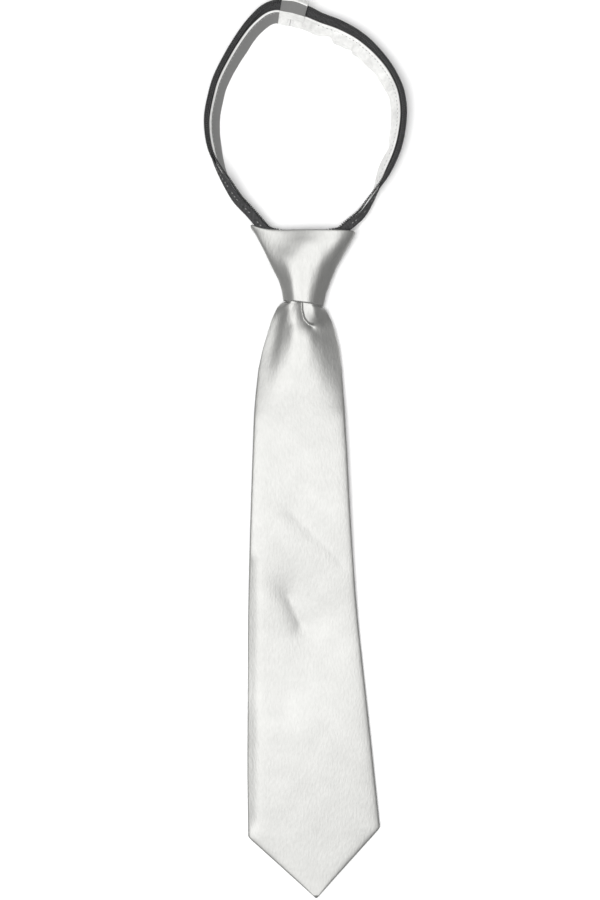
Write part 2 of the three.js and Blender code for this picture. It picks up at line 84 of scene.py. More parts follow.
# The knot, the slider and the tail
KNOT_TOP_WIDTH = 55.6
KNOT_BOTTOM_WIDTH = 21.4
KNOT_HEIGHT = 38.4
KNOT_THICK = 15.4
KNOT_BOTTOM_THICK = 11.6
KNOT_WALL = 1.2
KNOT_BACK_DROP = 6.0
KNOT_CORNER_LEFT = 5.4
KNOT_CORNER_RIGHT = 1.6
KNOT_SLANT = 1.4
SLIDER_LENGTH = 11.0
SLIDER_PLATE = 1.0
SLIDER_TOP = 7.5
TAIL_START = -KNOT_HEIGHT
TAIL_END = TAIL_START - 94.0
TAIL_DROP = 12.0
TAB_LENGTH = 12.0
TAB_WALL = 1.0
TAB_RAMP = 13.0
TAB_TOP = TAIL_END + TAB_LENGTH
TAB_THICK = 2 * TAB_WALL + 2 * CLEARANCE + TAPE_THICK
COIL_TO_TAPE = COIL_THICK + COIL_GAP
COIL_IN_TAIL = 0.06
COIL_IN_KNOT = KNOT_WALL + CLEARANCE
COIL_IN_SLIDER = KNOT_WALL + 2 * CLEARANCE + SLIDER_PLATE

# The blade, from the bottom of the knot to the tip
BLADE_LENGTH = 317.2
BLADE_WIDTH = 70.4
BLADE_THICK = 3.2
BLADE_RAMP = 100.0
NECK_INSIDE = 11.0
CORNER_SLANT = 5.0
TIP_WIDTH = 1.2
TIP_SHIFT = 0.097
SLANT_FADE = 0.05
EDGE_RISE = 0.5
SEAM_HEIGHT = 0.5
SEAM_WIDTH = 0.7
SEAM_END = 0.86

# The lamp in metres and watts. The camera looks straight down, with so many millimetres to a pixel.
LAMP_PLACE = (-0.24, -0.15, 1.9)
LAMP_SIZE = (0.9, 1.4)
LAMP_POWER = 44
ROOM_LIGHT = 0.15
TABLE_HALF = 2.5
CAMERA_PLACE = (-1.85, -116.6)
PIXEL = 0.535
PIXELS_HIGH = 900
SENSOR = 36

# Roundness of a section: 1 is an ellipse and 0 is a box
STRAP_ROUND = 0.55
KNOT_BACK_ROUND = 0.5
TAB_ROUND = 0.3
# How square the front is towards its two edges
KNOT_SQUARE = 7
BLADE_SQUARE = 9

# The stitches: half their width and height, how far the inner and the outer row lie below the upper edge,
# and the loose row as a share of the way across the tape
STITCH_HALF_WIDTH = 0.21
STITCH_HALF_HEIGHT = 0.13
STITCH_INNER_DOWN = 1.5
STITCH_OUTER_DOWN = 0.9
STITCH_LOOSE_ACROSS = 0.52

# Route of the strap: across and up as shares of the loop, lean of the satin and of the zipper in degrees
BACK_ROWS = [
    (-0.013, 0.969, 38, 52),
    (0.0235, 0.977, 38, 60),
    (0.059, 0.985, 39, 63),
    (0.094, 0.991, 40, 60),
    (0.127, 0.998, 39, 52),
]
LEFT_ROWS = [
    (0.157, 0.997, 38, 42),
    (0.2, 0.983, 36, 32),
    (0.268, 0.934, 35, 20),
    (0.328, 0.869, 35, 15),
    (0.4, 0.766, 34, 14),
    (0.45, 0.676, 32, 14),
    (0.476, 0.593, 31, 15),
    (0.492, 0.519, 32, 14),
    (0.493, 0.451, 31, 12),
    (0.476, 0.361, 28, 8),
    (0.447, 0.28, 20, -14),
    (0.403, 0.199, 14, -44),
    (0.358, 0.134, 13, -62),
    (0.287, 0.069, 21, -69),
]
RIGHT_ROWS = [
    (0.086, 0.943, 40, 40),
    (0.178, 0.915, 42, 36),
    (0.267, 0.876, 44, 30),
    (0.327, 0.838, 46, 26),
    (0.387, 0.789, 46, 19),
    (0.44, 0.732, 44, 15),
    (0.476, 0.675, 38, 15),
    (0.497, 0.624, 31, 18),
    (0.509, 0.542, 28, 21),
    (0.5, 0.452, 25, 23),
    (0.476, 0.366, 24, 25),
    (0.43, 0.272, 21, 22),
    (0.392, 0.2, 8, 4),
    (0.352, 0.128, -6, -18),
    (0.308, 0.062, 4, -42),
]
# In the knot's mouth: left, right and down as shares of the knot, laid from 0 standing to 1 flat, the leans
MOUTH_ROWS = [
    (0.81, 0.845, -0.012, 0, 24, -72),
    (0.68, 0.72, 0.07, 0, 15, -78),
    (0.475, 0.475, 0.105, 0.8, -12, -85),
    (0.32, 0.32, 0.192, 1, -36, -89),
]
# The knot: down, width from 1 at the mouth to 0 at the bottom, shift of the middle
KNOT_ROWS = [
    (0, 1, -0.007),
    (0.1, 0.87, 0.006),
    (0.3, 0.62, 0.008),
    (0.5, 0.385, 0.004),
    (0.7, 0.175, 0.01),
    (0.86, 0.055, 0.004),
    (1, 0, 0),
]
# The blade: down, wide, shift and puff, as shares
BLADE_ROWS = [
    (-NECK_INSIDE / BLADE_LENGTH, 0, 0, 1),
    (0.0015, 0.015, 0, 1),
    (0.005, 0.09, -0.005, 1),
    (0.011, 0.155, -0.01, 0.95),
    (0.028, 0.255, -0.013, 0.8),
    (0.045, 0.327, -0.014, 0.64),
    (0.078, 0.433, -0.018, 0.35),
    (0.112, 0.502, -0.026, 0.15),
    (0.18, 0.574, -0.03, 0),
    (0.25, 0.616, -0.027, 0),
    (0.38, 0.684, -0.021, 0),
    (0.516, 0.764, -0.006, 0),
    (0.65, 0.856, 0.024, 0),
    (0.785, 0.947, 0.055, 0),
    (0.883, 1, 0.081, 0),
]
# Front of the blade at the knot, in millimetres above its back, from the left edge to the right. The rows
# lie 0, 1, 4, 9, 16 ... millimetres below a line just inside the knot, as far as the neck reaches.
NECK_FRONT = [
    (1.6, 5.5, 5.7, 5.6, 5.6, 5.6, 5.4, 4.0, 1.2),
    (1.6, 5.5, 5.7, 5.6, 5.7, 5.7, 5.6, 4.3, 1.2),
    (1.2, 4.3, 5.5, 5.6, 5.7, 5.8, 5.8, 4.2, 1.2),
    (0.8, 2.5, 4.8, 5.6, 5.7, 5.8, 5.4, 2.9, 0.7),
    (0.6, 1.6, 3.7, 5.4, 5.6, 5.2, 3.5, 1.8, 0.2),
    (1.0, 1.5, 3.3, 4.6, 4.9, 4.8, 3.6, 1.9, 0.2),
    (1.6, 2.2, 3.4, 4.0, 4.1, 4.0, 3.4, 2.1, 0.5),
    (2.3, 2.8, 3.2, 3.3, 3.3, 3.3, 3.2, 2.7, 1.8),
    (3.0, 3.2, 3.2, 3.2, 3.2, 3.2, 3.2, 3.2, 3.0),
]
NECK_START = -1.9
NECK_REACH = 64.0
# Front of the knot as shares of half its thickness, from left to right, the rows evenly down
KNOT_FRONT = [
    (0.32, 0.44, 0.52, 0.6, 0.74, 0.88, 0.97, 0.97, 0.8),
    (0.34, 0.5, 0.65, 0.81, 0.95, 1.0, 1.0, 0.96, 0.7),
    (0.4, 0.64, 0.87, 0.98, 1.0, 1.0, 0.97, 0.78, 0.45),
    (0.32, 0.64, 0.93, 1.0, 1.0, 1.0, 0.9, 0.62, 0.3),
    (0.3, 0.68, 0.96, 1.0, 1.0, 0.99, 0.85, 0.56, 0.3),
    (0.28, 0.66, 0.93, 1.0, 1.0, 0.98, 0.82, 0.52, 0.3),
]
# Folds in millimetres: height, width on the left and on the right of the line they run down, sharpness
# from 1 for a crease to 2 for a swelling, and the places of the line
BLADE_FOLDS = [
    (-1.9, 2.7, 0.15, 1.0, (-0.9, -3), (-0.7, 4.0), (0.3, 8.2), (2.2, 10.6), (4.2, 11.6)),
    (-1.3, 5.0, 20.0, 1.4, (-8.0, 157), (-2.0, 170)),
    (-0.7, 5.0, 22.0, 1.4, (-6, 112), (19, 136)),
    (-0.7, 9.0, 20.0, 1.6, (-17, 211), (-12, 213)),
    (-1.1, 4.5, 4.5, 2.0, (-30, 140), (-30.5, 275)),
]
# The same on the straps: ten millimetres for each row of the route, then down from the upper edge
STRAP_FOLDS = {
    "left": [(-0.5, 3.0, 3.0, 1.5, (80, 3), (82, 9))],
    "right": [
        (2.8, 3.6, 3.6, 1.7, (57, 10), (58, 12)),
        (-2.0, 1.8, 2.4, 1.3, (60, 5), (62, 12)),
        (3.0, 3.6, 3.6, 1.7, (72, 10), (73, 12)),
        (-2.0, 2.0, 2.4, 1.3, (67, 11), (74, 7), (77, 12)),
        (1.2, 3.0, 3.0, 1.7, (96, 10), (97, 12)),
        (2.0, 3.2, 3.2, 1.7, (149, 10), (150, 12)),
    ],
}


# ---- Properties -----------------------------------------------------------------------------------

def linear(code):
    """Turns an sRGB hex colour into linear red, green, blue and alpha."""
    parts = [int(code[i:i + 2], 16) / 255 for i in (1, 3, 5)]
    return [p / 12.92 if p <= 0.04045 else ((p + 0.055) / 1.055) ** 2.4 for p in parts] + [1.0]


def colour_property(name, description, code):
    """A colour with alpha, given in sRGB hex."""
    return bpy.props.FloatVectorProperty(
        name=name, description=description, subtype="COLOR", size=4, min=0, max=1, default=linear(code))


def length_property(name, description, millimetres):
    """A length, given in millimetres and kept in metres."""
    return bpy.props.FloatProperty(
        name=name, description=description, subtype="DISTANCE", unit="LENGTH", min=0, precision=5,
        default=millimetres * MM)


class TieSizes(bpy.types.PropertyGroup):
    # the real floats of the satin are about 0.2 mm apart; they are drawn coarser here so that they show
    thread: length_property("Satin thread", "Spacing of the satin's diagonal floats", 1.2)
    tape_rib: length_property("Tape rib", "Spacing of the ribs woven into the zipper tape", 0.8)
    tooth_pitch: length_property("Tooth pitch", "Distance from one nylon tooth to the next", 1.0)
    filament: length_property("Filament", "Thickness of the nylon that is wound into teeth", 0.58)
    stitch: length_property("Stitch", "Length of one sewn stitch", 1.1)
    stitch_gap: length_property("Stitch pitch", "Distance from one stitch to the next", 2.3)
    wrinkle: length_property("Wrinkle", "Height of the small wrinkles in the strap", 0.22)
    camera_height: length_property("Camera height", "Height of the camera above the table", 1300)


class TieColours(bpy.types.PropertyGroup):
    satin: colour_property("Satin", "Silver white satin of the blade and the knot", "#a7a7a5")
    band: colour_property("Strap satin", "Satin of the strap", "#fbfbf9")
    # painted shade: the grey for satin faces that turn away from the lamp
    reverse: colour_property("Shaded satin", "Grey satin that paints the shade on faces turned from the lamp", "#7d7d7c")
    thread: colour_property("Thread", "Sewing thread", "#a9a9a7")
    tape: colour_property("Tape", "Woven zipper tape", "#555556")
    teeth: colour_property("Teeth", "Nylon teeth", "#3c3c3d")
    slider: colour_property("Slider", "Paint of the slider", "#56575a")
    floor: colour_property("Table", "Pale table", "#fdfdfd")


# ---- Helpers --------------------------------------------------------------------------------------

def in_frame(place):
    """Turns a place in millimetres from the knot's top edge into metres in the frame."""
    middle = (TAB_LOW.x + TAB_HIGH.x) / 2
    return Vector((middle, TAB_LOW.y - TAIL_END * MM, TAB_LOW.z)) + Vector(place) * MM


def mix(low, high, share):
    """The value at a share of the way from low to high."""
    return low + (high - low) * share


def ease(value, low, high):
    """Rises from 0 at low to 1 at high with a soft start and a soft end."""
    share = min(1.0, max(0.0, (value - low) / (high - low)))
    return share * share * (3 - 2 * share)


def signed_power(value, power):
    """Power of the size of a value, with the value's sign."""
    return math.copysign(abs(value) ** power, value)


def column(rows, value, index):
    """Reads one column of a table at a value of its first column, in straight lines."""
    for above, below in zip(rows, rows[1:]):
        if value <= below[0]:
            break
    share = min(1.0, max(0.0, (value - above[0]) / (below[0] - above[0])))
    return mix(above[index], below[index], share)


def curve_point(points, place, even=False):
    """A point on the smooth curve through points, where place counts the points from 0."""
    index = min(int(place), len(points) - 2)
    share = place - index
    one, two = points[index], points[index + 1]
    before = points[index - 1] if index > 0 else one * 2 - two
    after = points[index + 2] if index + 2 < len(points) else two * 2 - one
    if even:
        start, end = (two - before) / 2, (after - one) / 2
    else:
        first, middle, last = [max((b - a).length, 1e-4) ** 0.5
                               for a, b in ((before, one), (one, two), (two, after))]
        start = ((one - before) / first - (two - before) / (first + middle) + (two - one) / middle) * middle
        end = ((two - one) / middle - (after - one) / (middle + last) + (after - two) / last) * middle
    square, cube = share ** 2, share ** 3
    return (one * (2 * cube - 3 * square + 1) + start * (cube - 2 * square + share)
            + two * (3 * square - 2 * cube) + end * (cube - square))


def relief(rows, down, across):
    """Height of a front, smooth both ways; down runs from 0 to 1 and across from -1 to 1."""
    lines = [curve_point(row, (across + 1) / 2 * (len(row) - 1), even=True) for row in rows]
    return curve_point(lines, min(1.0, max(0.0, down)) * (len(rows) - 1), even=True)


def fold_height(folds, x, y):
    """Sum of the folds at one place."""
    total = 0.0
    for height, left, right, sharpness, *places in folds:
        nearest, width = math.inf, left
        for (x1, y1), (x2, y2) in zip(places, places[1:]):
            dx, dy = x2 - x1, y2 - y1
            share = min(1.0, max(0.0, ((x - x1) * dx + (y - y1) * dy) / (dx * dx + dy * dy)))
            away = math.hypot(x - x1 - share * dx, y - y1 - share * dy)
            if away < nearest:
                side = (dx * (y - y1) - dy * (x - x1)) / (math.hypot(dx, dy) * max(away, 1e-6))
                nearest, width = away, mix(right, left, (side + 1) / 2)
        total += height * math.exp(-(nearest / width) ** sharpness)
    return total


def cloth_tube(name, around, along, place, size=None, loop=False, zone=None):
    """A closed tube: a grid rolled round and moved by place(u, v), with its cloth coordinates in mm.
    Without a size, the cloth coordinates are the place on the table. zone(u, v) picks the material."""
    mesh = bpy.data.meshes.new(name)
    grid = bmesh.new()
    bmesh.ops.create_grid(grid, x_segments=around, y_segments=along, size=0.5)
    cloth = grid.loops.layers.uv.new("cloth")
    for face in grid.faces:
        for corner in face.loops:
            at = corner.vert.co
            if size:
                corner[cloth].uv = ((at.x + 0.5) * size[0], (at.y + 0.5) * size[1])
        if zone:
            at = face.calc_center_median()
            face.material_index = zone(at.x + 0.5, at.y + 0.5)
    for vert in grid.verts:
        vert.co = in_frame(place(vert.co.x + 0.5, vert.co.y + 0.5))
    if not size:
        for face in grid.faces:
            for corner in face.loops:
                corner[cloth].uv = corner.vert.co.xy / MM
    bmesh.ops.remove_doubles(grid, verts=grid.verts, dist=1e-7)
    if not loop:
        rims = [edge for edge in grid.edges if edge.is_boundary]
        bmesh.ops.holes_fill(grid, edges=rims, sides=0)
    bmesh.ops.recalc_face_normals(grid, faces=grid.faces)
    for face in grid.faces:
        face.smooth = True
    grid.to_mesh(mesh)
    grid.free()
    piece = bpy.data.objects.new(name, mesh)
    bpy.context.scene.collection.objects.link(piece)
    return piece


def finish_piece(piece, materials, slot, *nodes):
    """Gives a piece its materials and its body, and hides the solids it stands for; slot is not used."""
    for material in materials:
        piece.data.materials.append(material)
    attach(piece, "root")
    if nodes:
        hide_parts(*nodes)


# ---- Route of the strap and zipper ----------------------------------------------------------------

def tape_level(y):
    """Height of the tape's lower face where the zipper is closed."""
    in_tail = ease(TAIL_START - y, 0, TAIL_DROP)
    in_tab = ease(TAB_TOP + TAB_LENGTH / 2 - y, 0, TAB_LENGTH / 2 - 1)
    low = mix(COIL_IN_KNOT, COIL_IN_TAIL, in_tail) + COIL_TO_TAPE
    return mix(low, TAB_WALL + CLEARANCE, in_tab)


def bend_above(lean):
    """How far the bend of the tape lies above the satin's upper edge."""
    return TAPE_RISE * math.cos(math.radians(lean)) - TAPE_OFFSET * math.sin(math.radians(lean))


def bend_beside(lean):
    """How far the bend of the tape lies beside the satin's upper edge."""
    return TAPE_RISE * math.sin(math.radians(lean)) + TAPE_OFFSET * math.cos(math.radians(lean))


def standing_height(lean):
    """Height of the satin's upper edge when its lower edge is on the table."""
    angle = math.radians(lean)
    return SATIN_WIDTH * math.cos(angle) + SATIN_THICK * max(0.0, -math.sin(angle))


class Route:
    """The satin's upper edge from the back of the neck to the tab, and the way the section is turned."""

    def __init__(self, side, rows, closed=True):
        self.side = side
        self.mouth = len(rows)
        self.places = [Vector((side * across * LOOP_WIDTH, up * LOOP_HEIGHT, standing_height(lean)))
                       for across, up, lean, flap in rows]
        self.angles = [Vector((lean, flap, 0)) for across, up, lean, flap in rows]
        if closed:
            self.add_closed_rows()
        self.last = len(self.places) - 1
        self.standing = self.mouth + 1 if closed else self.last
        self.known = {}

    def add_closed_rows(self):
        """Adds the rows through the knot's mouth, the slider and the tail, down to the tab."""
        in_slider = COIL_IN_SLIDER + COIL_TO_TAPE + TAPE_THICK / 2
        for left, right, down, laid, lean, flap in MOUTH_ROWS:
            out = left if self.side < 0 else right
            standing = standing_height(lean) + bend_above(lean)
            self.places.append(Vector((self.side * out * KNOT_TOP_WIDTH / 2, -down * KNOT_HEIGHT,
                                       mix(standing, in_slider, laid) - bend_above(lean))))
            self.angles.append(Vector((lean, flap, 0)))
        end = -SLIDER_TOP - SLIDER_LENGTH
        for y, lean in (
            (-SLIDER_TOP - 0.35 * SLIDER_LENGTH, -50), (-SLIDER_TOP - 0.7 * SLIDER_LENGTH, -63), (end, -75),
            (end - SLIDER_LENGTH / 2, -90), (TAIL_START, -90), (TAIL_START - TAIL_DROP / 2, -90),
            (TAIL_START - TAIL_DROP, -90), (TAIL_START - 1.4 * TAIL_DROP, -90),
            ((TAIL_START + TAB_TOP) / 2, -90), (TAB_TOP + TAB_LENGTH / 2, -90), (TAB_TOP + 1, -90),
            (TAIL_END + TAB_WALL + CLEARANCE, -90),
        ):
            middle = tape_level(y) + TAPE_THICK / 2 if y < end else in_slider
            x = self.side * (CLOSED_REACH - TAPE_RISE - bend_beside(lean))
            self.places.append(Vector((x, y, middle - bend_above(lean))))
            self.angles.append(Vector((lean, -90, 0)))

    def at(self, row):
        """The satin's upper edge, the bend of the tape, and the four directions of the section."""
        row = min(max(row, 0.0), float(self.last))
        key = round(row, 5)
        if key not in self.known:
            edge = curve_point(self.places, row)
            step = 0.01
            ahead = curve_point(self.places, min(row + step, self.last))
            along = (ahead - curve_point(self.places, max(row - step, 0.0))).normalized()
            out = Vector((-along.y, along.x, 0)).normalized() * self.side
            lean, flap = curve_point(self.angles, row, even=True)[:2]
            if row <= self.standing:
                edge.z = standing_height(lean)
            ways = [Vector((0, 0, math.cos(math.radians(turn)))) + out * math.sin(math.radians(turn))
                    for turn in (lean, lean + 90, flap, flap + 90)]
            bend = edge + ways[0] * TAPE_RISE + ways[1] * TAPE_OFFSET
            self.known[key] = (edge, bend, *ways, along)
        return self.known[key]

    def rows_at_steps(self, start, end, step):
        """Rows that lie an even distance apart along the bend of the tape."""
        count = int((end - start) * 40)
        rows = [mix(start, end, i / count) for i in range(count + 1)]
        found, walked = [start], 0.0
        for one, two in zip(rows, rows[1:]):
            walked += (self.at(two)[1] - self.at(one)[1]).length
            if walked >= step:
                walked -= step
                found.append(two)
        return found

    def length(self, start, end):
        """Length of the bend of the tape between two rows."""
        count = int((end - start) * 10)
        places = [self.at(mix(start, end, i / count))[1] for i in range(count + 1)]
        return sum((b - a).length for a, b in zip(places, places[1:]))


MIRRORED_BACK = [(-across, up, lean, flap) for across, up, lean, flap in reversed(BACK_ROWS)]
ROUTES = {
    "left": Route(-1, BACK_ROWS + LEFT_ROWS),
    "right": Route(1, MIRRORED_BACK + RIGHT_ROWS),
}
JOIN_ROUTE = Route(-1, [(-RIGHT_ROWS[0][0], *RIGHT_ROWS[0][1:])] + BACK_ROWS + LEFT_ROWS[:1], closed=False)


# ---- Materials ------------------------------------------------------------------------------------

def add(tree, kind, inputs=None, **settings):
    """Adds a node with its settings; inputs holds values, or sockets to link from."""
    node = tree.nodes.new(kind)
    for name, value in settings.items():
        setattr(node, name, value)
    for name, value in (inputs or {}).items():
        if isinstance(value, bpy.types.NodeSocket):
            tree.links.new(value, node.inputs[name])
        else:
            node.inputs[name].default_value = value
    return node


def new_material(name, **values):
    """An empty material with its shader; values are the shader's even settings."""
    material = bpy.data.materials.new(name)
    material.use_nodes = True
    tree = material.node_tree
    tree.nodes.clear()
    shader = add(tree, "ShaderNodeBsdfPrincipled", {k.replace("_", " "): v for k, v in values.items()})
    add(tree, "ShaderNodeOutputMaterial", {"Surface": shader.outputs[0]})
    return material, tree, shader


def tinted(tree, colour, share, factor):
    """The colour, darkened to a share of itself where the factor is low."""
    scale = add(tree, "ShaderNodeMapRange", {"Value": factor, "To Min": share, "To Max": 1.0})
    whole = add(tree, "ShaderNodeRGB")
    whole.outputs[0].default_value = colour
    scaled = add(tree, "ShaderNodeVectorMath", {0: whole.outputs[0], "Scale": scale.outputs[0]},
                 operation="SCALE")
    return scaled.outputs[0]


def satin_material(name, colour, sizes, metal, share):
    """Polyester satin woven with long floats and cut on the bias. It mirrors the lamp softly, so it
    is nearly white where it faces up and grey where it turns away, with fine diagonal threads."""
    material, tree, shader = new_material(name, Metallic=metal, Roughness=0.55)
    cloth = add(tree, "ShaderNodeUVMap", uv_map="cloth")
    per_mm = MM / sizes.thread
    turned = add(tree, "ShaderNodeMapping", {
        "Vector": cloth.outputs[0], "Rotation": (0, 0, math.radians(45)),
        "Scale": (per_mm, per_mm / 2.5, 1)})
    floats = add(tree, "ShaderNodeTexNoise", {
        "Vector": turned.outputs[0], "Scale": 1.0, "Detail": 2.0, "Roughness": 0.6})
    # broad patches, a centimetre or so wide, where the cloth is pressed more or less
    soft = add(tree, "ShaderNodeTexNoise", {"Vector": cloth.outputs[0], "Scale": 0.08, "Detail": 2.0})
    both = add(tree, "ShaderNodeMath", {0: floats.outputs["Fac"], 1: soft.outputs["Fac"]}, operation="ADD")
    level = add(tree, "ShaderNodeMapRange", {
        "Value": both.outputs[0], "From Min": 0.7, "From Max": 1.3, "To Min": 0.0, "To Max": 1.0})
    tree.links.new(tinted(tree, colour, share, level.outputs[0]), shader.inputs["Base Color"])
    bump = add(tree, "ShaderNodeBump", {
        "Height": floats.outputs["Fac"], "Strength": 0.4, "Distance": 0.2 * MM})
    tree.links.new(bump.outputs[0], shader.inputs["Normal"])
    return material


def tape_material(colour, sizes):
    """Polyester zipper tape, woven in fine ribs: matt charcoal with pale specks where threads cross."""
    material, tree, shader = new_material("Woven polyester tape", Roughness=0.85, IOR=1.3)
    cloth = add(tree, "ShaderNodeUVMap", uv_map="cloth")
    ribs = add(tree, "ShaderNodeTexWave", {
        "Vector": cloth.outputs[0], "Scale": MM / sizes.tape_rib / 2, "Distortion": 1.2, "Detail": 1.0,
        "Detail Scale": 2.0}, bands_direction="DIAGONAL")
    specks = add(tree, "ShaderNodeTexNoise", {"Vector": cloth.outputs[0], "Scale": 0.7, "Detail": 2.0})
    both = add(tree, "ShaderNodeMath", {0: ribs.outputs["Fac"], 1: specks.outputs["Fac"]},
               operation="MULTIPLY")
    level = add(tree, "ShaderNodeMapRange", {
        "Value": both.outputs[0], "From Min": 0.18, "From Max": 0.42, "To Min": 0.0, "To Max": 1.0})
    tree.links.new(tinted(tree, colour, 0.25, level.outputs[0]), shader.inputs["Base Color"])
    bump = add(tree, "ShaderNodeBump", {
        "Height": both.outputs[0], "Strength": 0.7, "Distance": 0.12 * MM})
    tree.links.new(bump.outputs[0], shader.inputs["Normal"])
    return material


def plain_material(name, colour, grain, depth, share=0.8, **values):
    """A plain finish with a fine uneven grain, given in millimetres."""
    material, tree, shader = new_material(name, **values)
    place = add(tree, "ShaderNodeTexCoord")
    spots = add(tree, "ShaderNodeTexNoise", {
        "Vector": place.outputs["Object"], "Scale": 1 / (grain * MM), "Detail": 3.0})
    tree.links.new(tinted(tree, colour, share, spots.outputs["Fac"]), shader.inputs["Base Color"])
    bump = add(tree, "ShaderNodeBump", {
        "Height": spots.outputs["Fac"], "Strength": 0.4, "Distance": depth * MM})
    tree.links.new(bump.outputs[0], shader.inputs["Normal"])
    return material


def material_named(context, name):
    """The tie's materials, each made once."""
    if name not in bpy.data.materials:
        sizes, colours = context.scene.tie_sizes, context.scene.tie_colours
        if name == "Bias-cut polyester satin":
            satin_material(name, colours.satin, sizes, 0.9, 0.9)
        elif name == "Strap satin":
            satin_material(name, colours.band, sizes, 0.15, 0.74)
        elif name == "Satin in painted shade":
            # Satin with painted shade: matt, and greyer, to stand for its faces that turn away from the
            # lamp
            plain_material(name, colours.reverse, 0.8, 0.05, Roughness=0.8, Sheen_Weight=0.2)
        elif name == "Woven polyester tape":
            tape_material(colours.tape, sizes)
        elif name == "Wound nylon filament":
            # Nylon filament, extruded and dyed: nearly black with a small hard shine along each turn
            plain_material(name, colours.teeth, 1.5, 0.02, Roughness=0.38, IOR=1.53)
        elif name == "Spun polyester thread":
            # Spun sewing thread: soft and matt, with a few loose fibres
            plain_material(name, colours.thread, 0.3, 0.05, Roughness=0.7, Sheen_Weight=0.3)
        elif name == "Painted zinc casting":
            # Zinc casting with a thin coat of paint: smooth, slightly uneven, half gloss
            plain_material(name, colours.slider, 0.8, 0.02, Roughness=0.4, Coat_Weight=0.3)
    return bpy.data.materials[name]


# ---- Pieces ---------------------------------------------------------------------------------------

class TIE_OT_stage(bpy.types.Operator):
    """Lays out the table, the lamp and the camera"""

    bl_idname = "tie.stage"
    bl_label = "Stage"

    def execute(self, context):
        scene = context.scene
        mesh = bpy.data.meshes.new("table")
        grid = bmesh.new()
        bmesh.ops.create_grid(grid, x_segments=2, y_segments=2, size=TABLE_HALF)
        grid.to_mesh(mesh)
        grid.free()
        table = bpy.data.objects.new("table", mesh)
        scene.collection.objects.link(table)
        # Matt lacquered board, nearly white, with no grain that shows
        table.data.materials.append(plain_material(
            "Matt lacquered board", scene.tie_colours.floor, 40, 0.0, share=0.98, Roughness=0.9))

        scene.view_settings.view_transform = "Standard"
        scene.world = bpy.data.worlds.new("soft room")
        scene.world.use_nodes = True
        room = scene.world.node_tree.nodes["Background"]
        room.inputs["Color"].default_value = linear("#f4f4f4")
        room.inputs["Strength"].default_value = ROOM_LIGHT
        lamp = bpy.data.lights.new("softbox", "AREA")
        lamp.shape = "RECTANGLE"
        lamp.size, lamp.size_y = LAMP_SIZE
        lamp.energy = LAMP_POWER
        holder = bpy.data.objects.new("softbox", lamp)
        scene.collection.objects.link(holder)
        place = Vector(LAMP_PLACE)
        aim = (-place).to_track_quat("-Z", "Y").to_matrix().to_4x4()
        holder.matrix_world = Matrix.Translation(place) @ aim

        camera = bpy.data.cameras.new("camera")
        height = scene.tie_sizes.camera_height
        camera.sensor_width = SENSOR
        camera.lens = SENSOR * height / (PIXEL * PIXELS_HIGH * MM)
        holder = bpy.data.objects.new("camera", camera)
        scene.collection.objects.link(holder)
        holder.location = in_frame((*CAMERA_PLACE, height / MM))
        scene.camera = holder
        return {"FINISHED"}


class TIE_OT_straps(bpy.types.Operator):
    """Makes the two satin straps of the loop, each a flat fold of cloth that stands on its edge"""

    bl_idname = "tie.straps"
    bl_label = "Straps"

    def execute(self, context):
        wrinkle = context.scene.tie_sizes.wrinkle / MM
        for side, route in ROUTES.items():
            start, end = STRAP_START, route.mouth + SATIN_INTO_KNOT
            length = route.length(start, end)

            def depth(u):
                """How far below the satin's upper edge a place in its section lies."""
                return (1 - signed_power(math.cos(2 * math.pi * u), STRAP_ROUND)) / 2 * SATIN_WIDTH

            def place(u, v):
                row = mix(start, end, v)
                edge, bend, up, out, flap_up, flap_out, along = route.at(row)
                deep = depth(u)
                thick = signed_power(math.sin(2 * math.pi * u), STRAP_ROUND) * SATIN_THICK / 2
                # the cloth creases a little where the strap bends, more towards its lower edge
                crease = noise.noise(Vector((v * length / 7, deep / 14, route.side * 5)))
                fine = noise.noise(Vector((v * length / 2.6, deep / 9, 3 + route.side)))
                lift = (wrinkle * (crease + 0.35 * fine) + fold_height(STRAP_FOLDS[side], row * 10, deep)
                        ) * min(1.0, deep / 3)
                spot = edge - up * deep + out * (thick - SATIN_THICK / 2 + lift)
                # the lower edge of the folds rests on the table
                spot.z = max(0.1 + (SATIN_THICK / 2 + thick) / 2, spot.z)
                return spot

            def zone(u, v):
                # the inner face of the left strap, turned away from the lamp, gets the grey satin as
                # painted shade
                inner = u > 0.5 and depth(u) > 0.9
                return 1 if side == "left" and inner and mix(start, end, v) > JOIN_TO - 0.9 else 0

            band = cloth_tube("band_" + side, 48, int(length / 0.8), place, (2 * SATIN_WIDTH, length),
                              zone=zone)
            finish_piece(band, [material_named(context, "Strap satin"),
                                material_named(context, "Satin in painted shade")],
                         "band_satin", "neck_band_" + side)
        return {"FINISHED"}


